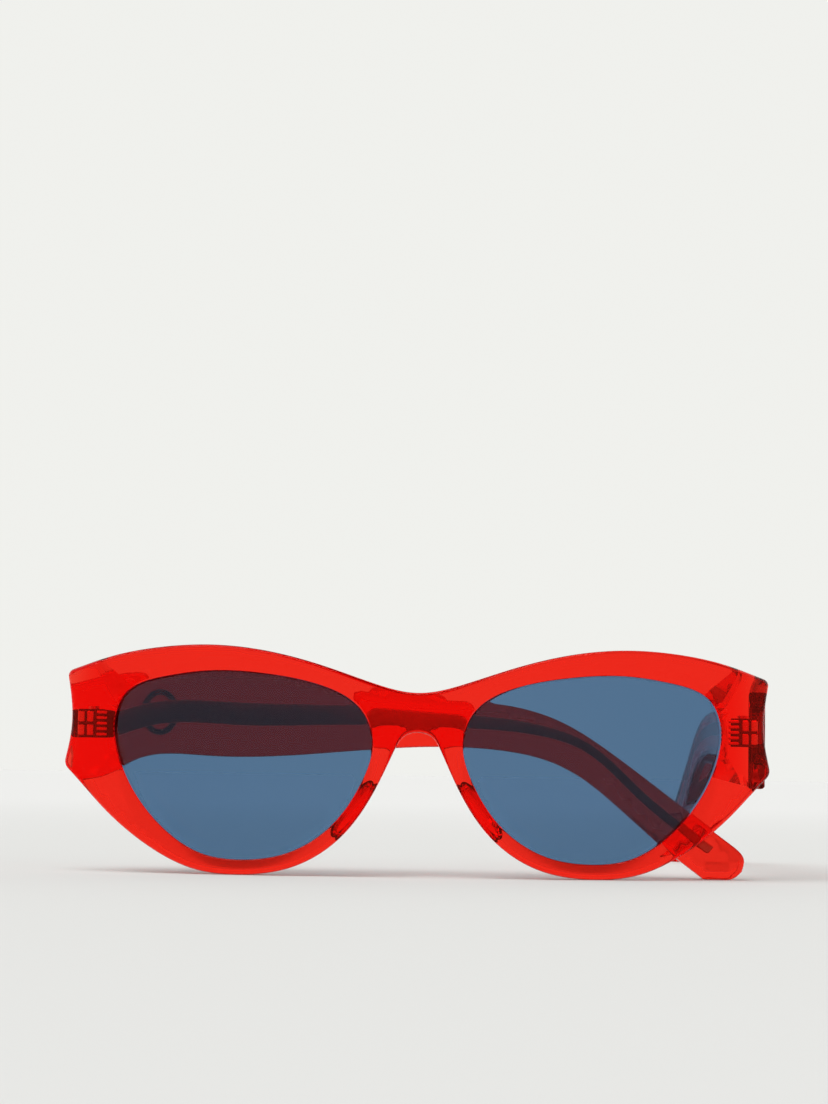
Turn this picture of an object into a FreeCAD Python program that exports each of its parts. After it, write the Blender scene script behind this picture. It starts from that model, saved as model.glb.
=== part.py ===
import FreeCAD, Part

import math
import os

from FreeCAD import Vector

# Cat eye sunglasses: a one-piece acetate front that holds two tinted lenses, and two acetate
# temples on five-knuckle hinges, each stiffened by a metal core. X runs across the front, the
# front faces -Y, and z = 0 is the surface that the rims and the temple tips stand on.
# Each temple and its hinge are drawn round their own pivot, open, then placed and folded.

DIMENSIONS = {
    # front, seen from the front
    "lens_width": 51.7,          # opening of one rim, across
    "lens_height": 37.3,         # opening of one rim, up
    "bridge_gap": 17.8,          # between the two rim openings
    "rim_bottom": 3.0,           # acetate under a lens
    "rim_top": 5.2,              # acetate over a lens
    "nose_rim": 3.0,             # acetate between a lens and the nose
    "bridge_top": 36.4,          # height of the bridge's upper edge
    "nose_arch": 28.5,           # height of the arch over the nose
    "end_reach": 10.4,           # from the rim opening to the outermost point
    "end_top": 40.1,             # height of the end piece's upper corner
    "end_bottom": 21.3,          # height of the end piece's lower corner
    "end_waist": 1.5,            # how far the end piece curves in between its corners
    "waist_height": 29.5,        # height of the narrowest place between those corners
    "corner_inset": 0.4,         # how far the upper corner stays inside the lower one
    "bridge_rise": 1.8,          # rise of the brow from the bridge's middle to the rim opening
    # front, seen from above
    "wrap_radius": 230.0,        # of the front's outer face
    "front_thickness": 4.2,
    "end_thickness": 5.0,        # of the end piece at the hinge
    "end_block": 8.8,            # width of the thick part of the end piece
    # lenses
    "lens_thickness": 2.0,
    "lens_setback": 1.1,         # from the front's outer face to the lens
    "groove_depth": 0.7,         # how far the lens edge goes into the rim
    "lens_clearance": 0.05,
    # nose pads
    "pad_length": 13.6,
    "pad_width": 3.4,
    "pad_depth": 9.0,
    "pad_height": 13.3,          # height of the pad's middle
    "pad_place": 12.7,           # from the object's middle out to the pad's
    "pad_tilt": 35.0,            # lean of the pad towards the bridge, degrees
    "glue_gap": 0.02,
    # hinge
    "hinge_height": 29.6,        # height of the hinge's middle
    "pivot_inset": 6.4,          # from the front's outermost point in to the pivot
    "pivot_setback": 4.05,       # from the end piece's rear face to the pivot
    "butt_gap": 0.15,            # between the open temple and the end piece
    "barrel_radius": 1.3,
    "barrel_clearance": 0.1,
    "knuckle_height": 1.06,
    "knuckle_gap": 0.1,
    "leaf_thickness": 0.9,
    "leaf_length": 6.8,
    "leaf_margin": 2.8,          # how much wider the front leaf's plate is than the barrel
    "leaf_shift": 0.6,           # of that plate, outwards from the pivot
    "leaf_clearance": 0.05,
    "screw_radius": 0.6,
    "screw_fit": 0.03,
    "screw_head_radius": 1.15,
    "screw_head_height": 0.65,
    "screw_slot_width": 0.3,
    "screw_slot_depth": 0.3,
    # temples
    "temple_reach": 134.5,       # from the butt end to the tip
    "temple_bend": 92.0,         # from the butt end to the bend over the ear
    "temple_thickness": 4.2,
    "temple_straight": 70.0,     # length before the temple bows inwards
    "temple_bow": 6.0,           # how far the tip bows inwards
    "butt_above": 8.2,           # height of the butt end over the hinge's middle
    "butt_below": 11.3,          # and under it
    "arm_bottom": 25.4,          # height of the arm's lower edge at the bend
    "arm_height": 9.8,           # height of the arm just before the bend
    "arm_swell": 41.2,           # height of the arm's upper edge at its widest
    "tip_height": 9.2,           # across the tip
    "tip_flat": 4.6,             # length of the flat that the tip stands on
    "tip_toe": 3.4,              # from that flat to the tip's end
    "fold_left": 90.0,           # how far the left temple is folded, degrees
    "fold_right": 0.0,           # how far the right temple is folded, degrees
    # core wires
    "wire_thickness": 1.2,
    "wire_front_height": 4.6,
    "wire_tip_height": 1.8,
    "wire_rise": 2.5,            # of the wire over the hinge's middle, along the arm
    "wire_end_gap": 6.5,         # from the end of the wire to the end of the tip
    "wire_clearance": 0.05,
    # emblem rings
    "ring_width": 7.6,
    "ring_height": 9.4,
    "ring_band": 1.2,
    "ring_thickness": 1.0,
    "ring_sunk": 0.6,
    "ring_place": 16.0,          # from the butt end to the ring's middle
    "ring_rise": 2.6,            # from the hinge's middle to the ring's middle
}

SIDES = {"left": -1, "right": 1}
SCREEN = 60.0                    # depth of the blocks that outlines are pushed through

doc = FreeCAD.newDocument("sunglasses")
sheet = doc.addObject("Spreadsheet::Sheet", "Dims")
for row, (alias, value) in enumerate(DIMENSIONS.items(), start=1):
    sheet.set(f"A{row}", alias)
    sheet.set(f"B{row}", str(value))
    sheet.setAlias(f"B{row}", alias)
doc.recompute()


def size(alias):
    return float(sheet.get(alias))


# ---------------------------------------------------------------- helpers

def bind(thing, **expressions):
    """Ties properties of a document object to the sheet: Radius="lens_width / 2"."""
    for name, text in expressions.items():
        for alias in sorted(DIMENSIONS, key=len, reverse=True):
            text = text.replace(alias, "@" + alias.upper() + "@")
        for alias in DIMENSIONS:
            text = text.replace("@" + alias.upper() + "@", "Dims." + alias)
        thing.setExpression(name.replace("_", "."), text)
    return thing


def block(name, length, width, height, x, y, z):
    """A box from the expressions of its sides and of the middle of its lowest face."""
    made = bind(doc.addObject("Part::Box", name), Length=length, Width=width, Height=height)
    return bind(made, Placement_Base_x=f"{x} - ({length}) / 2", Placement_Base_z=z,
                Placement_Base_y=f"{y} - ({width}) / 2")


def rod(name, radius, height, x, y, z):
    """An upright cylinder from the expressions of its radius, height and lowest centre."""
    made = bind(doc.addObject("Part::Cylinder", name), Radius=radius, Height=height)
    return bind(made, Placement_Base_x=x, Placement_Base_y=y, Placement_Base_z=z)


def fuse(name, *pieces):
    made = doc.addObject("Part::MultiFuse", name)
    made.Shapes = list(pieces)
    return made


def common(name, *pieces):
    made = doc.addObject("Part::MultiCommon", name)
    made.Shapes = list(pieces)
    return made


def cut(name, base, tool):
    made = doc.addObject("Part::Cut", name)
    made.Base, made.Tool = base, tool
    return made


def outline(name, edges):
    """A flat face inside closed edges, as an object that other features read."""
    made = doc.addObject("Part::Feature", name)
    made.Shape = Part.Face(Part.Wire(Part.__sortEdges__(edges)))
    return made


def push(name, face, direction, length="", back=""):
    """An outline pushed along a direction, by lengths bound to the sheet or by half of SCREEN each way."""
    made = doc.addObject("Part::Extrusion", name)
    made.Base, made.DirMode, made.Dir, made.Solid = face, "Custom", direction, True
    if length:
        bind(made, LengthFwd=length, LengthRev=back or "0")
    else:
        made.LengthFwd = made.LengthRev = SCREEN / 2
    return made


def push_front(name, face):
    """An outline of the front pushed through where the front stands."""
    made = push(name, face, Vector(0, 1, 0))
    made.Placement.Base = Vector(0, FRONT_Y, 0)
    return made


def spline(points, start=None, end=None):
    curve = Part.BSplineCurve()
    if start is not None:
        curve.interpolate(Points=points, InitialTangent=start, FinalTangent=end)
    else:
        curve.interpolate(points)
    return curve.toShape()


def loop(points):
    curve = Part.BSplineCurve()
    curve.interpolate(Points=points, PeriodicFlag=True)
    return [curve.toShape()]


# ---------------------------------------------------------------- places

FRONT_Y = -(size("temple_reach") + size("butt_gap") + size("end_thickness")
            + size("wrap_radius")
            - math.sqrt(size("wrap_radius") ** 2
                        - (size("bridge_gap") / 2 + size("lens_width") + size("end_reach")
                           - size("pivot_inset")) ** 2)) / 2
INNER_X = size("bridge_gap") / 2
OUTER_X = INNER_X + size("lens_width")
END_X = OUTER_X + size("end_reach")
PIVOT_X = END_X - size("pivot_inset")
BUTT_Y = (FRONT_Y + size("end_thickness") + size("wrap_radius")
          - math.sqrt(size("wrap_radius") ** 2 - PIVOT_X ** 2))
PIVOT_Y = BUTT_Y + size("pivot_setback")
INNER_FACE = size("barrel_radius") + size("barrel_clearance")    # of the open temple, from the pivot
BUTT_END = size("butt_gap") - size("pivot_setback")             # of the open temple, from the pivot


# ---------------------------------------------------------------- front

# Points round the rim opening as shares of its width and height, clockwise from the outside.
LENS_SHAPE = [(1.0, 0.721), (0.959, 0.874), (0.80, 0.968), (0.621, 1.0), (0.402, 0.984),
              (0.203, 0.928), (0.043, 0.796), (0.0, 0.633), (0.043, 0.410), (0.153, 0.188),
              (0.323, 0.038), (0.495, 0.0), (0.652, 0.030), (0.80, 0.158), (0.921, 0.357),
              (0.990, 0.584)]


def lens_point(across, up, grow=0.0):
    """A point of the right rim opening, which grows evenly by a margin."""
    return Vector(INNER_X - grow + across * (size("lens_width") + 2 * grow), 0,
                  size("rim_bottom") - grow + up * (size("lens_height") + 2 * grow))


def lens_outline(name, sign, grow):
    points = [lens_point(across, up, grow) for across, up in LENS_SHAPE]
    return outline(name, loop([Vector(sign * p.x, 0, p.z) for p in points]))


def beside(across, up, degrees, distance):
    """A point outside the rim opening, away from one of its own points."""
    turn = math.radians(degrees)
    return lens_point(across, up) + distance * Vector(math.cos(turn), 0, math.sin(turn))


def front_edges(sign):
    """One half of the front's outline, from the bridge's top round to the nose arch."""
    top, bottom, nose = size("rim_top"), size("rim_bottom"), size("nose_rim")
    bridge, arch = size("bridge_top"), size("nose_arch")
    upper_corner = Vector(END_X - size("corner_inset"), 0, size("end_top"))
    waist = Vector(END_X - size("end_waist"), 0, size("waist_height"))
    lower_corner = Vector(END_X, 0, size("end_bottom"))
    brow = [Vector(0, 0, bridge), Vector(INNER_X, 0, bridge + size("bridge_rise")),
            beside(0.203, 0.928, 105, 0.75 * top), beside(0.402, 0.984, 95, 0.87 * top),
            beside(0.621, 1.0, 90, top), beside(0.80, 0.968, 80, 1.15 * top),
            beside(0.959, 0.874, 50, 1.69 * top), upper_corner]
    side = [upper_corner, waist, lower_corner]
    under = [lower_corner, beside(0.921, 0.357, -35, 2.33 * bottom), beside(0.80, 0.158, -50, 1.57 * bottom),
             beside(0.652, 0.030, -68, 1.15 * bottom), beside(0.505, 0.0, -90, bottom),
             beside(0.323, 0.038, -112, nose), beside(0.153, 0.188, -135, nose),
             beside(0.043, 0.410, -155, 1.03 * nose), beside(0.0, 0.58, 180, 1.4 * nose),
             Vector(0.27 * INNER_X, 0, arch - 0.6), Vector(0, 0, arch)]
    level = Vector(1, 0, 0)
    flip = [[Vector(sign * p.x, 0, p.z) for p in run] for run in (brow, side, under)]
    return [spline(flip[0], sign * level, Vector(sign, 0, -0.32)),
            spline(flip[1]),
            spline(flip[2], Vector(-sign * 0.75, 0, -0.7), -sign * level)]


def wrap(name, depth):
    """The space behind a face that wraps round at a depth behind the front's outer face."""
    made = rod(name, f"wrap_radius - ({depth})", "end_top * 2", "0", "0", "-end_top / 2")
    return bind(made, Placement_Base_y=f"{FRONT_Y} + wrap_radius")


def make_front():
    blank = push_front("front_blank", outline("front_outline", front_edges(1) + front_edges(-1)))
    sheet_space = cut("front_sheet", wrap("front_face", "0"), wrap("front_back", "front_thickness"))
    ends = []
    middle = {side: f"{sign} * ({END_X} - end_block / 2 + 1)" for side, sign in SIDES.items()}
    for side in SIDES:
        room = block(f"end_room_{side}", "end_block + 2", f"{SCREEN} / 2", "end_top * 2",
                     middle[side], f"{BUTT_Y} - {SCREEN} / 4", "-end_top / 2")
        ends.append(common(f"end_space_{side}", room, wrap(f"end_face_{side}", "0")))
    body = common("front_body", blank, fuse("front_space", sheet_space, *ends))
    for side, sign in SIDES.items():
        behind = block(f"behind_end_{side}", "end_block + 2", "end_thickness * 2", "end_top * 2",
                       middle[side], f"{BUTT_Y} + end_thickness", "-end_top / 2")
        body = cut(f"front_butted_{side}", body, behind)
        opening = push_front(f"rim_opening_{side}", lens_outline(f"rim_outline_{side}", sign, 0.0))
        body = cut(f"front_opened_{side}", body, opening)
        body = cut(f"front_grooved_{side}", body, lens_solid(f"groove_{side}", sign, "lens_clearance"))
        body = cut(f"front_pocketed_{side}", body, front_leaf_pocket(side, sign))
    return body


def lens_solid(name, sign, margin=""):
    """A lens, or with a margin the groove that it sits in."""
    extra = size(margin) if margin else 0.0
    plug = push_front(f"{name}_plug", lens_outline(f"{name}_outline", sign, size("groove_depth") + extra))
    near = wrap(f"{name}_near", f"lens_setback - {extra}")
    far = wrap(f"{name}_far", f"lens_setback + lens_thickness + {extra}")
    return common(name, plug, cut(f"{name}_space", near, far))


def make_pad(side, sign):
    """A pad bonded to the back of the rim beside the nose."""
    pad = doc.addObject("Part::Ellipsoid", f"pad_form_{side}")
    bind(pad, Radius1="pad_length / 2", Radius2="pad_width / 2", Radius3="pad_depth / 2")
    middle = Vector(sign * size("pad_place"), FRONT_Y + size("front_thickness"), size("pad_height"))
    pad.Placement = FreeCAD.Placement(middle, FreeCAD.Rotation(Vector(0, 1, 0), -sign * size("pad_tilt")))
    return common(f"nose_pad_{side}", pad, wrap(f"pad_face_{side}", "front_thickness + glue_gap"))


# ---------------------------------------------------------------- hinges, round the pivot

STACK = "(5 * knuckle_height + 4 * knuckle_gap)"


def knuckles(name, slots, sign, reach_x, reach_y):
    """Barrel slices with webs that run from the pivot out to x or y."""
    pieces = []
    for slot in slots:
        low = f"hinge_height - {STACK} / 2 + {slot} * (knuckle_height + knuckle_gap)"
        pieces.append(rod(f"{name}_slice_{slot}", "barrel_radius", "knuckle_height", "0", "0", low))
        if reach_x:
            pieces.append(block(f"{name}_web_{slot}", reach_x, "barrel_radius * 2", "knuckle_height",
                                f"{sign} * ({reach_x}) / 2", "0", low))
        else:
            pieces.append(block(f"{name}_web_{slot}", "barrel_radius * 2", reach_y, "knuckle_height",
                                "0", f"-({reach_y}) / 2", low))
    return pieces


def bored(name, body):
    hole = rod(f"{name}_bore", "screw_radius + screw_fit", "hinge_height", "0", "0", "hinge_height / 2")
    return cut(name, body, hole)


def front_leaf_plate(name, sign, margin):
    """The leaf's plate, let into the rear face of the end piece."""
    grow = f"2 * {margin}"
    return block(name, f"barrel_radius * 2 + leaf_margin + {grow}", f"leaf_thickness + {grow}",
                 f"{STACK} + {grow}", f"{sign} * leaf_shift", f"-pivot_setback - leaf_thickness / 2",
                 f"hinge_height - {STACK} / 2 - {margin}")


def front_leaf_pocket(side, sign):
    pocket = doc.addObject("Part::Compound", f"front_pocket_{side}")
    pocket.Links = [front_leaf_plate(f"front_pocket_room_{side}", sign, "leaf_clearance")]
    return at_pivot(pocket, sign)


def make_front_leaf(side, sign):
    pieces = knuckles(f"front_leaf_{side}", (0, 2, 4), sign, "", "pivot_setback + leaf_thickness / 2")
    plate = front_leaf_plate(f"front_plate_{side}", sign, "0")
    return at_pivot(bored(f"hinge_front_leaf_{side}", fuse(f"front_leaf_body_{side}", plate, *pieces)), sign)


def temple_leaf_plate(name, sign, margin):
    """The leaf's plate, let into the inner face of the temple."""
    grow = f"2 * {margin}"
    return block(name, f"leaf_thickness + {grow}", f"leaf_length + {grow}", f"{STACK} + {grow}",
                 f"{sign} * ({INNER_FACE} + leaf_thickness / 2)", "0",
                 f"hinge_height - {STACK} / 2 - {margin}")


def make_temple_leaf(side, sign):
    pieces = knuckles(f"temple_leaf_{side}", (1, 3), sign, f"{INNER_FACE} + leaf_thickness / 2", "")
    plate = temple_leaf_plate(f"temple_plate_{side}", sign, "0")
    body = fuse(f"temple_leaf_body_{side}", plate, *pieces)
    return folded(bored(f"hinge_temple_leaf_{side}", body), side, sign)


def make_screw(side, sign):
    top = f"hinge_height + {STACK} / 2"
    shank = rod(f"screw_shank_{side}", "screw_radius", STACK, "0", "0", f"hinge_height - {STACK} / 2")
    head = rod(f"screw_head_{side}", "screw_head_radius", "screw_head_height", "0", "0", top)
    slot = block(f"screw_slot_{side}", "screw_head_radius * 3", "screw_slot_width", "screw_head_height",
                 "0", "0", f"{top} + screw_head_height - screw_slot_depth")
    return at_pivot(cut(f"hinge_screw_{side}", fuse(f"screw_body_{side}", shank, head), slot), sign)


def at_pivot(made, sign):
    made.Placement = FreeCAD.Placement(Vector(sign * PIVOT_X, PIVOT_Y, 0), FreeCAD.Rotation())
    return made


def folded(made, side, sign):
    turn = FreeCAD.Rotation(Vector(0, 0, 1), sign * size(f"fold_{side}"))
    made.Placement = FreeCAD.Placement(Vector(sign * PIVOT_X, PIVOT_Y, 0), turn)
    return made


# ---------------------------------------------------------------- temples, round the pivot

def along(share, height):
    """A point of the temple's side view. A share of 1 is the bend and 2 is the tip's end."""
    bend, reach = size("temple_bend"), size("temple_reach")
    run = share * bend if share <= 1 else bend + (share - 1) * (reach - bend)
    return Vector(0, BUTT_END + run, height)


def temple_side():
    """The temple's side view: a deep butt end, a swollen arm, and a tip that drops behind the ear."""
    low, high = size("hinge_height") - size("butt_below"), size("hinge_height") + size("butt_above")
    arm_low, arm_high = size("arm_bottom"), size("arm_bottom") + size("arm_height")
    swell, tip = size("arm_swell"), size("tip_height")
    flat_start = along(2, 0) - Vector(0, size("tip_flat") + size("tip_toe"), 0)
    flat_end = flat_start + Vector(0, size("tip_flat"), 0)
    lower = [along(0, low), along(0.05, low + 0.5), along(0.08, low + 1.7), along(0.115, low + 3.7),
             along(0.28, arm_low - 2.0), along(0.64, arm_low - 0.3), along(0.92, arm_low),
             along(1.12, arm_low - 2.9), along(1.55, 0.34 * arm_low), flat_start]
    upper = [along(0, high), along(0.11, swell - 1.0), along(0.28, swell), along(0.44, swell - 0.5),
             along(0.60, arm_high + 2.3), along(0.76, arm_high + 0.4), along(0.94, arm_high - 0.6),
             along(1.12, arm_high - 3.6), along(1.38, arm_low - 0.5), along(1.72, 1.53 * tip),
             along(1.955, 0.72 * tip)]
    nose = Part.Arc(upper[-1], along(2, 0.47 * tip), along(1.99, 0.18 * tip)).toShape()
    heel = spline([along(1.99, 0.18 * tip), flat_end + Vector(0, 0.9, 0.12), flat_end])
    return [spline(lower), Part.LineSegment(flat_start, flat_end).toShape(), heel, nose, spline(upper),
            Part.LineSegment(upper[0], lower[0]).toShape()]


def bowed(name, sign, inner, outer, start, end):
    """The space between two upright faces that run straight back from the hinge and then bow inwards."""
    run = size("temple_reach") - size("temple_straight")
    radius = (run ** 2 + size("temple_bow") ** 2) / (2 * size("temple_bow"))
    turn_y = BUTT_END + size("temple_straight")
    centre = INNER_FACE + size("temple_thickness") - radius

    def at(x, angle):
        reach = x - centre
        return Vector(sign * (centre + reach * math.cos(angle)), turn_y + reach * math.sin(angle), 0)

    last = math.asin(min(0.99, (end - turn_y) / radius))
    faces = [Part.LineSegment(Vector(sign * x, start, 0), at(x, 0)).toShape() for x in (inner, outer)]
    faces += [Part.Arc(at(x, 0), at(x, last / 2), at(x, last)).toShape() for x in (inner, outer)]
    ends = [Part.LineSegment(Vector(sign * inner, start, 0), Vector(sign * outer, start, 0)).toShape(),
            Part.LineSegment(at(inner, last), at(outer, last)).toShape()]
    return push(name, outline(f"{name}_plan", faces + ends), Vector(0, 0, 1), "end_top * 2", "end_top")


def wire_solid(name, sign, margin):
    """The core, or with a margin the channel that it lies in, from the hinge leaf to the tip."""
    height, middle = size("wire_front_height"), size("hinge_height")
    tip = size("wire_tip_height")
    start = size("leaf_length") / 2 + size("leaf_clearance")
    end_share = 2 - size("wire_end_gap") / (size("temple_reach") - size("temple_bend"))
    rise = size("wire_rise")
    route = [(Vector(0, start, middle), height), (along(0.16, middle + 0.9 * rise), height),
             (along(0.34, middle + rise), height), (along(0.58, middle + rise), 0.85 * height),
             (along(0.80, middle + 0.7 * rise), 0.62 * height),
             (along(1.0, middle + 0.1 * rise), 0.5 * height),
             (along(1.25, 0.89 * middle), tip), (along(1.5, 0.58 * middle), tip),
             (along(end_share, 0.63 * size("tip_height")), tip)]
    upper, lower = [], []
    for number, (point, deep) in enumerate(route):
        before, after = route[max(number - 1, 0)][0], route[min(number + 1, len(route) - 1)][0]
        way = (after - before).normalize()
        square = Vector(0, -way.z, way.y) * (deep / 2 + margin)
        reach = way * (margin if number == len(route) - 1 else 0.0)
        upper.append(point + square + reach)
        lower.append(point - square + reach)
    edges = [spline(upper), spline(lower), Part.LineSegment(upper[0], lower[0]).toShape(),
             Part.LineSegment(upper[-1], lower[-1]).toShape()]
    side = push(f"{name}_side", outline(f"{name}_strip", edges), Vector(1, 0, 0))
    middle_x = INNER_FACE + size("temple_thickness") / 2
    half = size("wire_thickness") / 2 + margin
    plan = bowed(f"{name}_plan_space", sign, middle_x - half, middle_x + half, start - 1,
                 BUTT_END + size("temple_reach"))
    return common(name, side, plan)


def ring_solid(name, sign, margin):
    """The oval ring on the outer face, or with a margin the groove that it is set in."""
    outer_face = INNER_FACE + size("temple_thickness")
    middle = Vector(sign * (outer_face - size("ring_sunk") - margin), BUTT_END + size("ring_place"),
                    size("hinge_height") + size("ring_rise"))
    ovals = []
    for kind, grow in (("outside", margin), ("inside", -size("ring_band") - margin)):
        tall, wide = size("ring_height") / 2 + grow, size("ring_width") / 2 + grow
        oval = Part.Ellipse(middle + Vector(0, 0, tall), middle + Vector(0, wide, 0), middle)
        ovals.append(push(f"{name}_{kind}", outline(f"{name}_{kind}_oval", [oval.toShape()]),
                          Vector(sign, 0, 0), f"ring_thickness + {margin}"))
    return cut(name, *ovals)


def make_temple(side, sign):
    blank = push(f"temple_blank_{side}", outline(f"temple_outline_{side}", temple_side()), Vector(1, 0, 0))
    slab = bowed(f"temple_slab_{side}", sign, INNER_FACE, INNER_FACE + size("temple_thickness"),
                 BUTT_END, BUTT_END + size("temple_reach") + 1)
    body = common(f"temple_form_{side}", blank, slab)
    tools = fuse(f"temple_rooms_{side}",
                 temple_leaf_plate(f"temple_pocket_{side}", sign, "leaf_clearance"),
                 wire_solid(f"wire_channel_{side}", sign, size("wire_clearance")),
                 ring_solid(f"ring_groove_{side}", sign, size("wire_clearance")))
    return folded(cut(f"temple_{side}", body, tools), side, sign)


# ---------------------------------------------------------------- the object

parts = {"front_frame": make_front()}
for side, sign in SIDES.items():
    parts[f"lens_{side}"] = lens_solid(f"lens_{side}", sign)
    parts[f"nose_pad_{side}"] = make_pad(side, sign)
    parts[f"hinge_front_leaf_{side}"] = make_front_leaf(side, sign)
    parts[f"hinge_screw_{side}"] = make_screw(side, sign)
    parts[f"hinge_temple_leaf_{side}"] = make_temple_leaf(side, sign)
    parts[f"temple_{side}"] = make_temple(side, sign)
    parts[f"core_wire_{side}"] = folded(
        wire_solid(f"core_wire_{side}", sign, 0.0), side, sign)
    parts[f"emblem_ring_{side}"] = folded(ring_solid(f"emblem_ring_{side}", sign, 0.0), side, sign)
for node, part in parts.items():
    part.Label = node
doc.recompute()

for thing in doc.Objects:
    if "Invalid" in thing.State or "Error" in thing.State:
        raise RuntimeError(f"{thing.Name} did not build: {thing.State}")
for node, part in parts.items():
    if part.Shape.isNull() or not part.Shape.isValid() or not part.Shape.Solids:
        raise RuntimeError(f"{node} is not a sound solid")

os.makedirs("parts", exist_ok=True)
for node, part in parts.items():
    part.Shape.exportStep(f"parts/{node}.step")
    box = part.Shape.BoundBox
    print(f"{node:24s} solids {len(part.Shape.Solids)} volume {part.Shape.Volume:9.2f} "
          f"x {box.XMin:7.2f} {box.XMax:7.2f} y {box.YMin:7.2f} {box.YMax:7.2f} "
          f"z {box.ZMin:6.2f} {box.ZMax:6.2f}")
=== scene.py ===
import math

import bmesh
import bpy
import numpy as np
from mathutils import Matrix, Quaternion, Vector, geometry


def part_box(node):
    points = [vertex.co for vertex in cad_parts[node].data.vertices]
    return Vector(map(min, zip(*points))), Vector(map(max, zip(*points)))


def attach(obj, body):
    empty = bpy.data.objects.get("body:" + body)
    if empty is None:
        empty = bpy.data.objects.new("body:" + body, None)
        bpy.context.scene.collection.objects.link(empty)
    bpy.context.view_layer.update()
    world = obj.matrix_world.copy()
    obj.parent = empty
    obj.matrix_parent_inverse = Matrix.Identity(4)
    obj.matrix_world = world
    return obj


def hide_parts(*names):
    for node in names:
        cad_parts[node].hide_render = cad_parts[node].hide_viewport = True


# Cat eye sunglasses in clear red acetate with tinted lenses. Shapes are worked out in millimetres,
# in the frame's own axes: X across the front, the front faces -Y, and Z is up.

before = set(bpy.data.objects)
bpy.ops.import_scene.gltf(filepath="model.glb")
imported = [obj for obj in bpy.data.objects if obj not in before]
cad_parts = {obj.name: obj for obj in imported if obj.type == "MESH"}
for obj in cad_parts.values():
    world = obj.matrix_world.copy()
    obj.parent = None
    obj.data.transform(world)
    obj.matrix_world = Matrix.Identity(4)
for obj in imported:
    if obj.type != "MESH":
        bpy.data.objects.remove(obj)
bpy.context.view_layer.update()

MM = 0.001
SIDES = {"left": -1, "right": 1}

# front
LENS_WIDTH, LENS_HEIGHT = 51.7, 37.3
BRIDGE_GAP = 17.8
RIM_BOTTOM, RIM_TOP, NOSE_RIM = 3.0, 5.2, 3.0
BRIDGE_TOP, NOSE_ARCH = 36.4, 28.5
END_REACH, END_TOP, END_BOTTOM = 10.4, 40.1, 21.3
END_WAIST, WAIST_HEIGHT, CORNER_INSET, BRIDGE_RISE = 1.5, 29.5, 0.4, 1.8
WRAP_RADIUS = 230.0
FRONT_THICKNESS = 4.2
INNER_X = BRIDGE_GAP / 2
END_X = INNER_X + LENS_WIDTH + END_REACH
CORNER = 1.0                  # how far back each sharp corner of the outline is rounded
SKIN = 0.03                   # how far the drawn surface stays inside the frame's
EDGE = 0.75                   # radius of the polished outer edges
BAND, BAND_DEPTH = 1.5, 0.1  # sloping band round each rim opening

# lenses
LENS_THICKNESS, LENS_SETBACK = 2.0, 1.1
GROOVE = 0.3                  # how deep the rim groove is drawn

# hinges and temples, from the pivot
HINGE_Z = 29.6
PIVOT_INSET, PIVOT_SETBACK = 6.4, 4.05
KNUCKLE, KNUCKLE_GAP = 1.06, 0.1
STACK = 5 * KNUCKLE + 4 * KNUCKLE_GAP
INNER_FACE, BUTT_END = 1.4, -3.9
REACH, BEND, STRAIGHT, BOW = 134.5, 92.0, 70.0, 6.0
TEMPLE_THICKNESS = 4.2
BUTT_ABOVE, BUTT_BELOW = 8.2, 11.3
ARM_BOTTOM, ARM_HEIGHT, ARM_SWELL = 25.4, 9.8, 41.2
TIP_HEIGHT, TIP_FLAT, TIP_TOE = 9.2, 4.6, 3.4
LEAF_LENGTH, LEAF_THICKNESS, LEAF_GAP = 6.8, 0.9, 0.05
FRONT_LEAF_WIDTH, FRONT_LEAF_SHIFT = 5.4, 0.6
WIRE_THICKNESS, WIRE_HEIGHT, WIRE_TIP, WIRE_RISE, WIRE_END = 1.2, 4.6, 1.8, 2.5, 6.5

front_low, front_high = (np.array(corner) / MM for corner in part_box("front_frame"))
FRONT_Y, BUTT_Y = front_low[1], front_high[1]
PIVOT_X, PIVOT_Y = END_X - PIVOT_INSET, BUTT_Y + PIVOT_SETBACK


# ---------------------------------------------------------------- curves

def unit(rows):
    return rows / np.linalg.norm(rows, axis=1)[:, None]


def curve_through(points, closed=False, tangents=None, step=0.7):
    """Points spaced along the smooth curve through the given ones."""
    knots = np.array(points, float)
    if closed:
        knots = np.vstack([knots, knots[0]])
    gaps = np.linalg.norm(np.diff(knots, axis=0), axis=1)
    chords = np.diff(knots, axis=0) / gaps[:, None]
    count = len(knots)
    rows, right = np.zeros((count, count)), np.zeros((count, 2))
    for i in range(1, count - 1):
        rows[i, i - 1:i + 2] = gaps[i], 2 * (gaps[i - 1] + gaps[i]), gaps[i - 1]
        right[i] = 3 * (gaps[i] * chords[i - 1] + gaps[i - 1] * chords[i])
    if closed:
        rows[0, 0], rows[0, -1] = 1, -1
        rows[-1, -2], rows[-1, 0], rows[-1, 1] = gaps[0], 2 * (gaps[-1] + gaps[0]), gaps[-1]
        right[-1] = 3 * (gaps[0] * chords[-1] + gaps[-1] * chords[0])
    elif tangents is not None:
        rows[0, 0] = rows[-1, -1] = 1
        right[0], right[-1] = unit(np.array(tangents, float))
    else:
        rows[0, :2], rows[-1, -2:] = (2, 1), (1, 2)
        right[0], right[-1] = 3 * chords[0], 3 * chords[-1]
    slopes = np.linalg.solve(rows, right)
    runs = []
    for i, gap in enumerate(gaps):
        share = np.linspace(0, 1, max(2, math.ceil(gap / step)) + 1)[:-1, None]
        runs.append((1 + 2 * share) * (1 - share) ** 2 * knots[i] + share * (1 - share) ** 2 * gap * slopes[i]
                    + share ** 2 * (3 - 2 * share) * knots[i + 1]
                    + share ** 2 * (share - 1) * gap * slopes[i + 1])
    return np.vstack(runs if closed else runs + [knots[-1:]])


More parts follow.
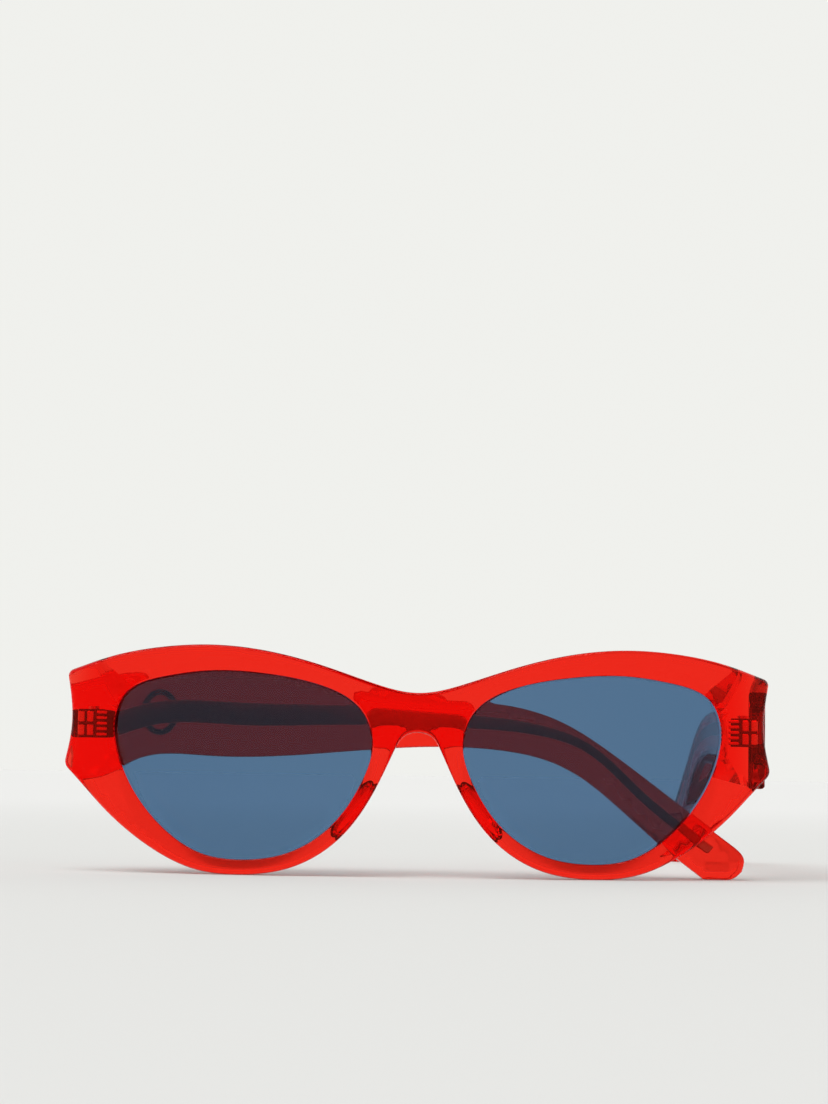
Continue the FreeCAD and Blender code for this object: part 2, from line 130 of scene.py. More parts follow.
def straight(start, end, step=0.7):
    count = max(2, math.ceil(math.dist(start, end) / step))
    return np.linspace(start, end, count + 1)


def corner_between(first, second, back=CORNER, count=7):
    """Two runs that meet in a corner, joined with the corner rounded."""
    corner = first[-1]
    first = first[np.linalg.norm(first - corner, axis=1) > back]
    second = second[np.linalg.norm(second - corner, axis=1) > back]
    share = np.linspace(0, 1, count + 2)[1:-1, None]
    bend = (1 - share) ** 2 * first[-1] + 2 * share * (1 - share) * corner + share ** 2 * second[0]
    return np.vstack([first, bend, second])


def shifted(loop, distance):
    """A closed loop moved to the left of its own direction."""
    before = unit(loop - np.roll(loop, 1, axis=0))
    after = unit(np.roll(loop, -1, axis=0) - loop)
    side = np.column_stack([-before[:, 1], before[:, 0]])
    middle = unit(side + np.column_stack([-after[:, 1], after[:, 0]]))
    miter = np.clip((middle * side).sum(axis=1), 0.75, 1)
    return loop + middle * (distance / miter)[:, None]


def inside(points, loops):
    """Which points lie within the loops, where a loop inside another is a hole."""
    crossings = np.zeros(len(points), int)
    for loop in loops:
        for (ax, ay), (bx, by) in zip(loop, np.roll(loop, -1, axis=0)):
            if ay == by:
                continue
            spans = (ay > points[:, 1]) != (by > points[:, 1])
            reach = ax + (points[:, 1] - ay) * (bx - ax) / (by - ay)
            crossings += spans & (points[:, 0] < reach)
    return crossings % 2 == 1


# ---------------------------------------------------------------- meshes

def round_edge(radius, inset=0.0, walls=3, steps=6):
    """Rings down the side of a plate: a rounded edge, the wall and a rounded edge."""
    turns = [math.radians(90 * k / steps) for k in range(steps + 1)]
    upper = [(inset + radius * (1 - math.sin(a)), 0.0, radius * (1 - math.cos(a))) for a in turns]
    wall = [(inset, k / (walls + 1), 0.0) for k in range(1, walls + 1)]
    return upper + wall + [(at, 1.0 - share, -off) for at, share, off in reversed(upper)]


# of the spacing: from one row of fill points to the next, and how far they keep from fixed points
ROW_STEP, KEEP_SQUARE, KEEP_ROUND = 0.866, 0.5, 0.62
POCKET_TAPER = 0.03           # a pocket's floor is this much smaller than its mouth, on each side
CREASE_CLEAR = 0.25           # a crease line stops this far from a border


class Plate:
    """A closed plate between two surfaces, inside an outline and round its openings."""

    def __init__(self, top, bottom):
        self.top, self.bottom = top, bottom
        self.points, self.faces, self.rings = [], [], []

    def wall(self, loop, profile):
        rows = []
        for inset, share, offset in profile:
            ring = shifted(loop, inset)
            depth = self.top(ring) * (1 - share) + self.bottom(ring) * share + offset
            rows.append(list(range(len(self.points), len(self.points) + len(ring))))
            self.points.extend(np.column_stack([ring, depth]))
        for upper, lower in zip(rows, rows[1:]):
            for i in range(len(upper)):
                self.faces.append((upper[i], upper[i - 1], lower[i - 1], lower[i]))
        self.rings.append((rows[0], rows[-1]))

    def cap(self, which, spacing, pockets=(), creases=()):
        """Fills one face. A pocket is a rectangle let in by a depth, and a crease is a line."""
        surface, sink = (self.top, 1) if which == 0 else (self.bottom, -1)
        index = [i for pair in self.rings for i in pair[which]]
        loops = [np.array([self.points[i][:2] for i in pair[which]]) for pair in self.rings]
        edges, start = [], 0
        for loop in loops:
            edges += [(start + i, start + (i + 1) % len(loop)) for i in range(len(loop))]
            start += len(loop)
        marks = list(np.vstack(loops))

        def add(spot, depth=0.0):
            index.append(len(self.points))
            self.points.append(np.array([*spot, surface(np.array([spot]))[0] + depth]))
            marks.append(np.array(spot))
            return len(marks) - 1

        for low, high, depth in pockets:
            for shrink, sunk in ((0.0, 0.0), (POCKET_TAPER, depth * sink)):
                (ax, ay), (bx, by) = np.array(low) + shrink, np.array(high) - shrink
                frame_points = np.vstack([straight(a, b, spacing)[:-1] for a, b in (
                    ((ax, ay), (bx, ay)), ((bx, ay), (bx, by)), ((bx, by), (ax, by)), ((ax, by), (ax, ay)))])
                made = [add(p, sunk) for p in frame_points]
                edges += list(zip(made, made[1:] + made[:1]))
        for line in creases:
            kept = [add(p) for p in line if inside(np.array([p]), loops)[0]
                    and np.linalg.norm(np.vstack(loops) - p, axis=1).min() > CREASE_CLEAR]
            edges += list(zip(kept, kept[1:]))
        fixed = np.array(marks)
        low, high = fixed.min(axis=0), fixed.max(axis=0)
        grid = [(low[0] + spacing * (column + 0.5 * (row % 2)), low[1] + spacing * ROW_STEP * row)
                for row in range(int((high[1] - low[1]) / spacing / ROW_STEP) + 1)
                for column in range(int((high[0] - low[0]) / spacing) + 1)]
        grid = np.array(grid)
        grid = grid[inside(grid, loops)]
        for spot in grid:
            if np.abs(fixed - spot).max(axis=1).min() > KEEP_SQUARE * spacing and \
                    np.linalg.norm(fixed - spot, axis=1).min() > KEEP_ROUND * spacing:
                sunk = sum(depth * sink for a, b, depth in pockets
                           if a[0] < spot[0] < b[0] and a[1] < spot[1] < b[1])
                add(spot, sunk)
        spots, _, triangles, origin, _, _ = geometry.delaunay_2d_cdt(
            [Vector(p) for p in marks], edges, [], 0, 1e-6, True)
        for spot, source in zip(spots, origin):
            if not source:
                source.append(add(tuple(spot)))
        spots = np.array([tuple(p) for p in spots])
        triangles = np.array([t for t in triangles if len(t) == 3])
        keep = inside(spots[triangles].mean(axis=1), loops)
        for triangle in triangles[keep]:
            self.faces.append(tuple(index[origin[i][0]] for i in triangle))

    def build(self, name, place, first_cap):
        return solid(name, [place(*p) for p in self.points], self.faces, first_cap)


def solid(name, points, faces, first_flat=None, crease=7.0, corner=32.0):
    """A smooth closed mesh with sharp corners; faces from first_flat on also show gentle creases."""
    mesh = bpy.data.meshes.new(name)
    mesh.from_pydata([tuple(MM * c for c in p) for p in points], [], faces)
    work = bmesh.new()
    work.from_mesh(mesh)
    work.faces.ensure_lookup_table()
    bmesh.ops.recalc_face_normals(work, faces=work.faces)
    for face in work.faces:
        face.smooth = True
    for edge in work.edges:
        flat = first_flat is not None and all(f.index >= first_flat for f in edge.link_faces)
        if edge.calc_face_angle(0.0) > math.radians(crease if flat else corner):
            edge.smooth = False
    work.to_mesh(mesh)
    work.free()
    made = bpy.data.objects.new(name, mesh)
    bpy.context.scene.collection.objects.link(made)
    return made


def finish_piece(made, material, body, node):
    made.data.materials.append(material)
    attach(made, body)
    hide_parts(node)
    return made


# ---------------------------------------------------------------- materials

def material(name):
    made = bpy.data.materials.new(name)
    made.use_nodes = True
    nodes, links = made.node_tree.nodes, made.node_tree.links
    shader = nodes["Principled BSDF"]
    place = nodes.new("ShaderNodeTexCoord").outputs["Object"]
    return made, nodes, links, shader, place


def noise(nodes, links, place, scale, detail=3.0, stretch=(1, 1, 1)):
    spread = nodes.new("ShaderNodeMapping")
    spread.inputs["Scale"].default_value = stretch
    links.new(place, spread.inputs["Vector"])
    made = nodes.new("ShaderNodeTexNoise")
    made.inputs["Scale"].default_value = scale
    made.inputs["Detail"].default_value = detail
    links.new(spread.outputs["Vector"], made.inputs["Vector"])
    return made.outputs["Fac"]


def ramp(nodes, links, source, low, high):
    made = nodes.new("ShaderNodeMapRange")
    made.inputs["From Min"].default_value, made.inputs["From Max"].default_value = 0.3, 0.7
    made.inputs["To Min"].default_value, made.inputs["To Max"].default_value = low, high
    links.new(source, made.inputs["Value"])
    return made.outputs["Result"]


def tint(nodes, links, source, first, second):
    made = nodes.new("ShaderNodeValToRGB")
    made.color_ramp.elements[0].position, made.color_ramp.elements[1].position = 0.35, 0.65
    made.color_ramp.elements[0].color = (*first, 1)
    made.color_ramp.elements[1].color = (*second, 1)
    links.new(source, made.inputs["Fac"])
    return made.outputs["Color"]


def ripple(nodes, links, source, strength, distance):
    made = nodes.new("ShaderNodeBump")
    made.inputs["Strength"].default_value = strength
    made.inputs["Distance"].default_value = distance
    links.new(source, made.inputs["Height"])
    return made.outputs["Normal"]


def clear_body(name, through, density, refraction, sheen, rough, first, second, wave):
    """A clear material whose depth takes up light."""
    made, nodes, links, shader, place = material(name)
    shader.inputs["Transmission Weight"].default_value = 1.0
    shader.inputs["IOR"].default_value = refraction
    shader.inputs["Specular Tint"].default_value = (*sheen, 1)
    cloud = noise(nodes, links, place, 60.0)
    links.new(tint(nodes, links, cloud, first, second), shader.inputs["Base Color"])
    smear = noise(nodes, links, place, 260.0, 4.0)
    links.new(ramp(nodes, links, smear, *rough), shader.inputs["Roughness"])
    swell = noise(nodes, links, place, 140.0, 1.0)
    links.new(ripple(nodes, links, swell, *wave), shader.inputs["Normal"])
    depth = nodes.new("ShaderNodeVolumeAbsorption")
    depth.inputs["Color"].default_value = (*through, 1)
    depth.inputs["Density"].default_value = density
    links.new(depth.outputs["Volume"], nodes["Material Output"].inputs["Volume"])
    return made


def metal(name, first, second, rough, grain):
    made, nodes, links, shader, place = material(name)
    shader.inputs["Metallic"].default_value = 1.0
    streaks = noise(nodes, links, place, 900.0, 3.0, grain)
    links.new(tint(nodes, links, streaks, first, second), shader.inputs["Base Color"])
    links.new(ramp(nodes, links, streaks, *rough), shader.inputs["Roughness"])
    links.new(ripple(nodes, links, streaks, 0.05, 0.00001), shader.inputs["Normal"])
    return made


acetate = clear_body("red_acetate", (0.993, 0.142, 0.0066), 1060.0, 1.49, (1.0, 0.12, 0.08), (0.0, 0.03),
                     (1.0, 0.975, 0.97), (1.0, 1.0, 1.0), (0.05, 0.00005))
tinted = clear_body("blue_grey_lens", (0.020, 0.310, 0.538), 1240.0, 1.5, (0.45, 0.55, 0.75), (0.0, 0.015),
                    (0.99, 0.99, 1.0), (1.0, 1.0, 1.0), (0.02, 0.00002))
nickel = metal("bright_nickel", (0.84, 0.83, 0.81), (0.93, 0.92, 0.90), (0.22, 0.38), (1, 1, 6))
# the hinge leaves get a dark metal as painted shade, so the gaps between the grip pads in front of them read
# dark
steel = metal("dull_steel", (0.16, 0.15, 0.15), (0.24, 0.23, 0.22), (0.35, 0.5), (1, 1, 6))
silver = metal("core_nickel_silver", (0.62, 0.60, 0.57), (0.74, 0.72, 0.68), (0.38, 0.55), (6, 1, 6))
gold = metal("pale_gold", (0.62, 0.50, 0.32), (0.78, 0.66, 0.44), (0.14, 0.30), (1, 1, 1))


# ---------------------------------------------------------------- front

LENS_SHAPE = [(1.0, 0.721), (0.959, 0.874), (0.80, 0.968), (0.621, 1.0), (0.402, 0.984),
              (0.203, 0.928), (0.043, 0.796), (0.0, 0.633), (0.043, 0.410), (0.153, 0.188),
              (0.323, 0.038), (0.495, 0.0), (0.652, 0.030), (0.80, 0.158), (0.921, 0.357),
              (0.990, 0.584)]


def lens_point(across, up):
    return np.array([INNER_X + across * LENS_WIDTH, RIM_BOTTOM + up * LENS_HEIGHT])


def beside(across, up, degrees, distance):
    turn = math.radians(degrees)
    return lens_point(across, up) + distance * np.array([math.cos(turn), math.sin(turn)])


def rim_opening(sign):
    """The opening's outline, clockwise, so that its left side is the acetate."""
    loop = curve_through([lens_point(*share) for share in LENS_SHAPE], closed=True) * (sign, 1)
    return loop[::-1] if sign > 0 else loop


def front_outline():
    brow = curve_through([(0, BRIDGE_TOP), (INNER_X, BRIDGE_TOP + BRIDGE_RISE),
                          beside(0.203, 0.928, 105, 0.75 * RIM_TOP),
                          beside(0.402, 0.984, 95, 0.87 * RIM_TOP), beside(0.621, 1.0, 90, RIM_TOP),
                          beside(0.80, 0.968, 80, 1.15 * RIM_TOP), beside(0.959, 0.874, 50, 1.69 * RIM_TOP),
                          (END_X - CORNER_INSET, END_TOP)], tangents=[(1, 0), (1, -0.32)])
    side = curve_through([(END_X - CORNER_INSET, END_TOP), (END_X - END_WAIST, WAIST_HEIGHT),
                          (END_X, END_BOTTOM)])
    under = curve_through([(END_X, END_BOTTOM), beside(0.921, 0.357, -35, 2.33 * RIM_BOTTOM),
                           beside(0.80, 0.158, -50, 1.57 * RIM_BOTTOM),
                           beside(0.652, 0.030, -68, 1.15 * RIM_BOTTOM),
                           beside(0.505, 0.0, -90, RIM_BOTTOM), beside(0.323, 0.038, -112, NOSE_RIM),
                           beside(0.153, 0.188, -135, NOSE_RIM), beside(0.043, 0.410, -155, 1.03 * NOSE_RIM),
                           beside(0.0, 0.58, 180, 1.4 * NOSE_RIM), (0.27 * INNER_X, NOSE_ARCH - 0.6),
                           (0, NOSE_ARCH)], tangents=[(-0.75, -0.7), (-1, 0)])
    half = corner_between(corner_between(brow, side), under)
    mirrored = half[::-1] * (-1, 1)
    return np.vstack([half, mirrored[1:-1]])[::-1]


def wrap_depth(points, depth):
    return FRONT_Y + WRAP_RADIUS - np.sqrt((WRAP_RADIUS - depth) ** 2 - points[:, 0] ** 2)


def beyond(points, start, end):
    """How far each point lies to the left of a line on the right half, on either half."""
    way = unit(np.array([np.subtract(end, start)]))[0]
    across = np.column_stack([np.abs(points[:, 0]), points[:, 1]]) - start
    return way[0] * across[:, 1] - way[1] * across[:, 0]


# a cut along the brow's outer end, and the border of the thick end piece on the rear face
BROW_CUT = ((70.8, 38.9), (59.4, 43.7))
END_UPPER = ((57.4, 37.5), (64.6, 43.4))
END_LOWER = ((70.0, 17.9), (57.2, 20.9))
BROW_SLOPE, END_SLOPE = 0.9, 0.42
THICK_FROM = 56.4             # the front thickens only this far out


def front_face(points):
    return wrap_depth(points, 0.0) + SKIN + BROW_SLOPE * np.maximum(0, -beyond(points, *BROW_CUT))


def rear_face(points):
    thin = wrap_depth(points, FRONT_THICKNESS)
    within = np.minimum(-beyond(points, *END_UPPER), -beyond(points, *END_LOWER))
    rise = END_SLOPE * np.clip(np.minimum(within, np.abs(points[:, 0]) - THICK_FROM), 0, None)
    return np.minimum(thin + rise, BUTT_Y - SKIN)


def rim_profile():
    """Rings through a rim opening: the sloping band, the lip, the lens groove and the rear edge."""
    lens_far = LENS_SETBACK + LENS_THICKNESS
    middle = LENS_SETBACK + LENS_THICKNESS / 2
    bed, half_bed, mouth = GROOVE + 0.05, 0.45, 0.08
    ring = [(BAND, 0.0), (BAND - 0.12, 0.02), (0.30, BAND_DEPTH - 0.06), (0.12, BAND_DEPTH + 0.02),
            (0.03, BAND_DEPTH + 0.14), (0.0, BAND_DEPTH + 0.3), (0.0, LENS_SETBACK - mouth),
            (bed, middle - half_bed), (bed, middle + half_bed), (0.0, lens_far + mouth)]
    rear = [(at, 1.0 - share, -off) for at, share, off in reversed(round_edge(0.45, walls=0)[:7])]
    return [(inset, 0.0, depth) for inset, depth in ring] + rear


def make_front():
    plate = Plate(front_face, rear_face)
    plate.wall(shifted(front_outline(), SKIN), round_edge(EDGE))
    for sign in SIDES.values():
        plate.wall(rim_opening(sign), rim_profile())
    first_cap = len(plate.faces)
    line = straight(*BROW_CUT)
    plate.cap(0, 1.3, creases=[line, line * (-1, 1)])
    lines = [straight(*END_UPPER), straight(*END_LOWER)]
    pockets = []
    for sign in SIDES.values():
        middle = sign * (PIVOT_X + FRONT_LEAF_SHIFT)
        half = FRONT_LEAF_WIDTH / 2 + LEAF_GAP
        pockets.append(((middle - half, HINGE_Z - STACK / 2 - LEAF_GAP),
                        (middle + half, HINGE_Z + STACK / 2 + LEAF_GAP), LEAF_THICKNESS + LEAF_GAP))
    plate.cap(1, 1.3, pockets=pockets, creases=[part * (sign, 1) for part in lines for sign in (1, -1)])
    made = plate.build("acetate_front", lambda x, z, y: (x, y, z), first_cap)
    return finish_piece(made, acetate, "front", "front_frame")


def make_lens(side, sign):
    def near(points):
        return wrap_depth(points, LENS_SETBACK)

    def far(points):
        return wrap_depth(points, LENS_SETBACK + LENS_THICKNESS)

    plate = Plate(near, far)
    half = [(0.35, 0.0, 0.0), (0.12, 0.0, 0.01), (0.02, 0.0, 0.06), (-GROOVE + 0.05, 0.5, -0.38)]
    profile = half + [(at, 1.0 - share, -off) for at, share, off in reversed(half)]
    plate.wall(rim_opening(sign)[::-1], profile)
    first_cap = len(plate.faces)
    plate.cap(0, 1.5)
    plate.cap(1, 1.5)
    made = plate.build(f"tinted_lens_{side}", lambda x, z, y: (x, y, z), first_cap)
    return finish_piece(made, tinted, "front", f"lens_{side}")


def make_pad(side, sign):
    """A half drop of acetate bonded behind the rim beside the nose."""
    half_long, half_wide, depth = 6.8, 1.5, 4.5
    centre, height, lean = 12.7, 13.3, math.radians(35.0)
    crest = -0.6                  # how far the top leans to the lens side, or with a minus to the nose
    rings, around, glue = 14, 48, 0.02
    points, faces = [], []
    for ring in range(rings):
        rise = math.radians(90) * ring / rings
        for k in range(around):
            turn = math.tau * k / around
            across = half_wide * math.cos(turn) * math.cos(rise) + crest * math.sin(rise)
            up = half_long * math.sin(turn) * math.cos(rise)
            x = sign * (centre + across * math.cos(lean) - up * math.sin(lean))
            z = height + across * math.sin(lean) + up * math.cos(lean)
            foot = wrap_depth(np.array([[x, z]]), FRONT_THICKNESS)[0] + glue
            crown = FRONT_Y + FRONT_THICKNESS + depth * math.sin(rise)
            points.append((x, max(foot, crown) if ring else foot, z))
    top = len(points)
    points.append((sign * (centre + crest * math.cos(lean)), FRONT_Y + FRONT_THICKNESS + depth - SKIN,
                   height + crest * math.sin(lean)))
    for ring in range(rings - 1):
        for k in range(around):
            a, b = ring * around + k, ring * around + (k + 1) % around
            faces.append((a, b, b + around, a + around))
    last = (rings - 1) * around
    for k in range(around):
        faces.append((last + k, last + (k + 1) % around, top))
    faces.append(tuple(range(around)))
    made = solid(f"acetate_nose_pad_{side}", points, faces)
    return finish_piece(made, acetate, "front", f"nose_pad_{side}")


# ---------------------------------------------------------------- temples

def placer(side, sign):
    """Turns a temple's own run, height and outward depth into a place in the frame."""
    low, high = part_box(f"temple_{side}")
    turned = math.radians(0.0 if high.y - low.y > high.x - low.x else 90.0) * sign

    def place(run, height, depth):
        x, y = -sign * depth, run
        return (sign * PIVOT_X + math.cos(turned) * x - math.sin(turned) * y,
                PIVOT_Y + math.sin(turned) * x + math.cos(turned) * y, height)
    return place


def along(share, height):
    run = share * BEND if share <= 1 else BEND + (share - 1) * (REACH - BEND)
    return np.array([BUTT_END + run, height])


def bowed(points, face):
    """Depth of an upright face of the temple that runs straight and then bows inwards."""
    run = REACH - STRAIGHT
    radius = (run ** 2 + BOW ** 2) / (2 * BOW)
    centre = INNER_FACE + TEMPLE_THICKNESS - radius
    past = np.maximum(0, points[:, 0] - BUTT_END - STRAIGHT)
    return -(centre + np.sqrt((face - centre) ** 2 - past ** 2))


def temple_outline():
    low, high = HINGE_Z - BUTT_BELOW, HINGE_Z + BUTT_ABOVE
    arm_high = ARM_BOTTOM + ARM_HEIGHT
    flat_start = along(2, 0) - (TIP_FLAT + TIP_TOE, 0)
    flat_end = flat_start + (TIP_FLAT, 0)
    lower = curve_through([along(0, low), along(0.05, low + 0.5), along(0.08, low + 1.7),
                           along(0.115, low + 3.7), along(0.28, ARM_BOTTOM - 2.0),
                           along(0.64, ARM_BOTTOM - 0.3), along(0.92, ARM_BOTTOM),
                           along(1.12, ARM_BOTTOM - 2.9), along(1.55, 0.34 * ARM_BOTTOM), flat_start])
    upper = curve_through([along(0, high), along(0.11, ARM_SWELL - 1.0), along(0.28, ARM_SWELL),
                           along(0.44, ARM_SWELL - 0.5), along(0.60, arm_high + 2.3),
                           along(0.76, arm_high + 0.4), along(0.94, arm_high - 0.6),
                           along(1.12, arm_high - 3.6), along(1.38, ARM_BOTTOM - 0.5),
                           along(1.72, 1.53 * TIP_HEIGHT), along(1.955, 0.72 * TIP_HEIGHT)])
    nose = curve_through([along(1.955, 0.72 * TIP_HEIGHT), along(2, 0.47 * TIP_HEIGHT),
                          along(1.99, 0.18 * TIP_HEIGHT)])
    heel = curve_through([along(1.99, 0.18 * TIP_HEIGHT), flat_end + (0.9, 0.12), flat_end])
    ground = straight(flat_start, flat_end)
    butt = straight(along(0, high), along(0, low))
    under = np.vstack([lower[:-1], ground[:-1], heel[::-1][:-1], nose[::-1][:-1]])
    whole = np.vstack([corner_between(butt, under, 0.6, 4), upper[::-1][:-1]])
    return shifted(whole, SKIN)


def make_temple(side, sign):
    plate = Plate(lambda p: bowed(p, INNER_FACE + TEMPLE_THICKNESS) + SKIN,
                  lambda p: bowed(p, INNER_FACE) - SKIN)
    plate.wall(temple_outline(), round_edge(0.8))
    first_cap = len(plate.faces)
    plate.cap(0, 1.6)
    half = LEAF_LENGTH / 2 + LEAF_GAP
    pocket = ((-half, HINGE_Z - STACK / 2 - LEAF_GAP), (half, HINGE_Z + STACK / 2 + LEAF_GAP),
              LEAF_THICKNESS + LEAF_GAP)
    plate.cap(1, 1.6, pockets=[pocket])
    made = plate.build(f"acetate_temple_{side}", placer(side, sign), first_cap)
    return finish_piece(made, acetate, f"temple_arm_{side}", f"temple_{side}")


def make_core(side, sign):
    """The flat metal core inside a temple, which narrows towards the tip."""
    end_share = 2 - WIRE_END / (REACH - BEND)
    route = [((LEAF_LENGTH / 2 + 0.1, HINGE_Z), WIRE_HEIGHT),
             (along(0.16, HINGE_Z + 0.9 * WIRE_RISE), WIRE_HEIGHT),
             (along(0.34, HINGE_Z + WIRE_RISE), WIRE_HEIGHT),
             (along(0.58, HINGE_Z + WIRE_RISE), 0.85 * WIRE_HEIGHT),
             (along(0.80, HINGE_Z + 0.7 * WIRE_RISE), 0.62 * WIRE_HEIGHT),
             (along(1.0, HINGE_Z + 0.1 * WIRE_RISE), 0.5 * WIRE_HEIGHT),
             (along(1.25, 0.89 * HINGE_Z), WIRE_TIP), (along(1.5, 0.58 * HINGE_Z), WIRE_TIP),
             (along(end_share, 0.63 * TIP_HEIGHT), WIRE_TIP)]
    spots = np.array([spot for spot, _ in route], float)
    ways = unit(np.gradient(spots, axis=0))
    square = np.column_stack([-ways[:, 1], ways[:, 0]]) * np.array([deep / 2 for _, deep in route])[:, None]
    upper, lower = curve_through(spots + square), curve_through(spots - square)
    end = straight(lower[-1], upper[-1], 0.4)
    outline = np.vstack([corner_between(lower, end, 0.4, 4)[:-1], upper[::-1]])
    middle = INNER_FACE + TEMPLE_THICKNESS / 2
    plate = Plate(lambda p: bowed(p, middle + WIRE_THICKNESS / 2),
                  lambda p: bowed(p, middle - WIRE_THICKNESS / 2))
    plate.wall(outline, round_edge(0.25, walls=1, steps=3))
    first_cap = len(plate.faces)
    plate.cap(0, 1.2)
    plate.cap(1, 1.2)
    made = plate.build(f"metal_core_{side}", placer(side, sign), first_cap)
    return finish_piece(made, silver, f"temple_arm_{side}", f"core_wire_{side}")


def make_ring(side, sign):
    """The plain oval ring set into a temple's outer face."""
    place = placer(side, sign)
    wide, tall, band, thick, sunk = 3.8, 4.7, 1.2, 1.0, 0.6
    from_butt, over_hinge, round_by, soften = 16.0, 2.6, 0.25, 0.08
    middle = np.array([BUTT_END + from_butt, HINGE_Z + over_hinge])
    outer = -(INNER_FACE + TEMPLE_THICKNESS) + sunk
    half = [(0.0, 0.0), (0.0, thick - round_by), (soften, thick - soften), (round_by, thick)]
    section = half + [(band - inset, rise) for inset, rise in reversed(half)]
    around = 72
    points, faces = [], []
    for k in range(around):
        turn = math.tau * k / around
        for inset, rise in section:
            points.append(place(middle[0] + (wide - inset) * math.cos(turn),
                                middle[1] + (tall - inset) * math.sin(turn), outer - rise))
    count = len(section)
    for k in range(around):
        for j in range(count):
            a, b = k * count + j, k * count + (j + 1) % count
            faces.append((a, b, (b + count) % len(points), (a + count) % len(points)))
    made = solid(f"oval_ring_{side}", points, faces)
    return finish_piece(made, gold, f"temple_arm_{side}", f"emblem_ring_{side}")


def rounded_block(points, faces, low, high, round_by, place):
    """Adds a block with rounded upright edges and softened faces to a mesh under way."""
    middle, half = (np.array(low) + high) / 2, (np.array(high) - low) / 2
    start, steps = len(points), 4
    deep = half[1]
    layers = [(-deep, round_by), (-deep + round_by, 0.0), (deep - round_by, 0.0), (deep, round_by)]
    for y, shrink in layers:
        for corner, (sx, sz) in enumerate(((1, 1), (-1, 1), (-1, -1), (1, -1))):
            for k in range(steps + 1):
                turn = math.radians(90 * (corner + k / steps))
                reach = 1.6 * round_by
                x = sx * (half[0] - reach - shrink) + reach * math.cos(turn)
                z = sz * (half[2] - reach - shrink) + reach * math.sin(turn)
                points.append(place(middle[0] + x, middle[1] + y, middle[2] + z))
    count = 4 * (steps + 1)
    for layer in range(len(layers) - 1):
        for k in range(count):
            a, b = start + layer * count + k, start + layer * count + (k + 1) % count
            faces.append((a, b, b + count, a + count))
    faces.append(tuple(start + k for k in range(count)))
    faces.append(tuple(start + (len(layers) - 1) * count + k for k in range(count)))


def make_grip(side, sign):
    """The hinge's anchor inside the end piece: four pads and a row of ribs in front of its leaf."""
    def place(x, y, z):
        return sign * x, y, z

    points, faces = [], []
    gap, deep = 0.02, 0.7
    rear = BUTT_Y - LEAF_THICKNESS - LEAF_GAP - gap
    pad_x, pad_step, pad_rise, pad_width, pad_height = 65.5, 1.85, 1.35, 1.36, 2.2
    for column in range(2):
        for row in (-1, 1):
            x, z = pad_x + pad_step * column, HINGE_Z + pad_rise * row
            rounded_block(points, faces, (x - pad_width / 2, rear - deep, z - pad_height / 2),
                          (x + pad_width / 2, rear, z + pad_height / 2), 0.12, place)
    ribs, rib_step, rib_height, rib_inner, rib_outer = 5, 1.1, 0.6, 62.1, 64.2
    for rib in range(ribs):
        z = HINGE_Z + rib_step * (rib - (ribs - 1) / 2)
        rounded_block(points, faces, (rib_inner, rear - deep, z - rib_height / 2),
                      (rib_outer, rear, z + rib_height / 2), 0.1, place)
    made = solid(f"hinge_grip_{side}", points, faces)
    made.data.materials.append(nickel)
    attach(made, "front")


def dress_hinge(side):
    """The hinge's own pieces keep their shape, with softened edges."""
    for node in (f"hinge_front_leaf_{side}", f"hinge_temple_leaf_{side}", f"hinge_screw_{side}"):
        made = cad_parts[node]
        for slot in made.material_slots:
            slot.link = "OBJECT"
            # the leaves take the dark metal that paints the shade between the grip pads
            slot.material = steel if "leaf" in node else nickel
        soften = made.modifiers.new("soft_edges", "BEVEL")
        soften.width, soften.segments, soften.limit_method = 0.06 * MM, 2, "ANGLE"
        soften.angle_limit = math.radians(40)


make_front()
for side, sign in SIDES.items():
    make_lens(side, sign)
    make_pad(side, sign)
    make_temple(side, sign)
    make_core(side, sign)
    make_ring(side, sign)
    make_grip(side, sign)
    dress_hinge(side)


# ---------------------------------------------------------------- floor, light and camera

# the floor's colour carries painted shade: darker near the frame and lighter far off, standing in for the
# soft shade round it
FLOOR_PAINTED_SHADE, FLOOR_FAR = (0.745, 0.745, 0.735), (0.815, 0.815, 0.81)


def make_floor():
    mesh = bpy.data.meshes.new("floor")
    reach = 12.0
    corners = [(-reach, -reach, 0), (reach, -reach, 0), (reach, reach, 0), (-reach, reach, 0)]
    mesh.from_pydata(corners, [], [(0, 1, 2, 3)])
    made = bpy.data.objects.new("floor", mesh)
    bpy.context.scene.collection.objects.link(made)
    paper, nodes, links, shader, place = material("pale_paper_painted_shade")
    away = nodes.new("ShaderNodeVectorMath")
    away.operation = "LENGTH"
    links.new(place, away.inputs[0])
    # painted shade: the paper darkens towards the middle of the floor, under the frame
    fade = nodes.new("ShaderNodeMapRange")
    fade.interpolation_type = "SMOOTHSTEP"
    fade.inputs["From Min"].default_value, fade.inputs["From Max"].default_value = 0.1, 1.4
    links.new(away.outputs["Value"], fade.inputs["Value"])
    shade = nodes.new("ShaderNodeValToRGB")
    shade.color_ramp.elements[0].color = (*FLOOR_PAINTED_SHADE, 1)
    shade.color_ramp.elements[1].color = (*FLOOR_FAR, 1)
    links.new(fade.outputs["Result"], shade.inputs["Fac"])
    links.new(shade.outputs["Color"], shader.inputs["Base Color"])
    shader.inputs["Roughness"].default_value = 0.9
    shader.inputs["Specular IOR Level"].default_value = 0.1
    mesh.materials.append(paper)


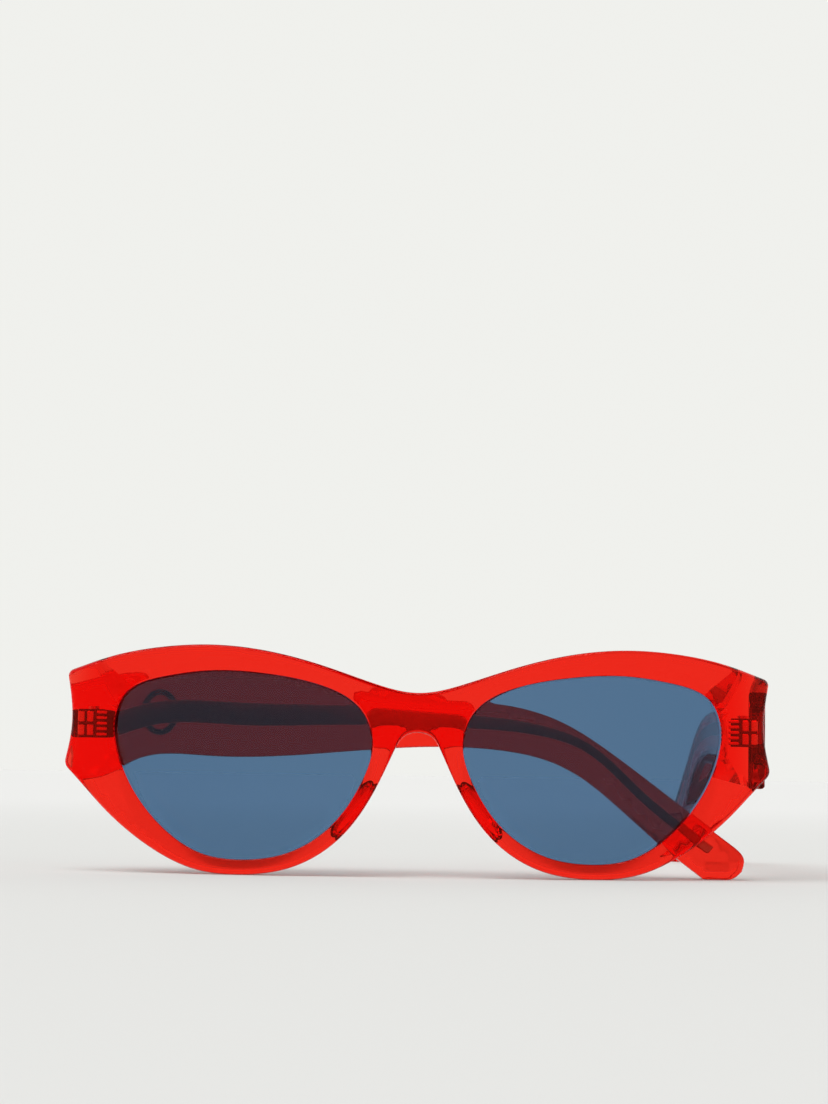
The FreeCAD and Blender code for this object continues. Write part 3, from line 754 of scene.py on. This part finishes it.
def make_camera():
    lens, sensor = 100.0, 36.0
    seen = 223.03                 # height of the picture at the end pieces
    distance = lens * seen / sensor
    across, eye_height, aim_height, roll = -1.3, 21.0, 65.2, 0.85
    eye = Vector((across, BUTT_Y - distance, eye_height)) * MM
    aim = Vector((across, BUTT_Y, aim_height)) * MM
    data = bpy.data.cameras.new("camera")
    data.lens, data.sensor_width = lens, sensor
    data.clip_start, data.clip_end = 0.01, 50.0
    made = bpy.data.objects.new("camera", data)
    made.location = eye
    made.rotation_mode = "QUATERNION"
    lean = Quaternion((0, 0, 1), math.radians(roll))
    made.rotation_quaternion = (aim - eye).to_track_quat("-Z", "Y") @ lean
    bpy.context.scene.collection.objects.link(made)
    bpy.context.scene.camera = made


def make_world():
    """Even studio light all round, dimmer overhead and a little dimmer behind the camera."""
    world = bpy.data.worlds.new("world")
    world.use_nodes = True
    nodes, links = world.node_tree.nodes, world.node_tree.links
    axes = nodes.new("ShaderNodeSeparateXYZ")
    links.new(nodes.new("ShaderNodeTexCoord").outputs["Generated"], axes.inputs["Vector"])
    factors = []
    for axis, start, end, dim in (("Z", 0.35, 0.85, 0.22), ("Y", -0.55, -0.95, 0.95)):
        fade = nodes.new("ShaderNodeMapRange")
        fade.interpolation_type = "SMOOTHSTEP"
        fade.inputs["From Min"].default_value, fade.inputs["From Max"].default_value = start, end
        fade.inputs["To Min"].default_value, fade.inputs["To Max"].default_value = 1.0, dim
        links.new(axes.outputs[axis], fade.inputs["Value"])
        factors.append(fade.outputs["Result"])
    total = factors[0]
    for factor in factors[1:]:
        product = nodes.new("ShaderNodeMath")
        product.operation = "MULTIPLY"
        links.new(total, product.inputs[0])
        links.new(factor, product.inputs[1])
        total = product.outputs["Value"]
    links.new(total, nodes["Background"].inputs["Strength"])
    nodes["Background"].inputs["Color"].default_value = (0.872, 0.876, 0.845, 1)
    bpy.context.scene.world = world


def make_sun():
    lamp = bpy.data.lights.new("high_window", "SUN")
    lamp.energy, lamp.angle = 2.15, math.radians(60)
    made = bpy.data.objects.new("high_window", lamp)
    made.rotation_mode = "QUATERNION"
    shines = Vector((0.35, 0.3, -1.0))
    made.rotation_quaternion = shines.to_track_quat("-Z", "Y")
    bpy.context.scene.collection.objects.link(made)


make_floor()
make_world()
make_sun()
make_camera()
bpy.context.scene.view_settings.view_transform = "Standard"
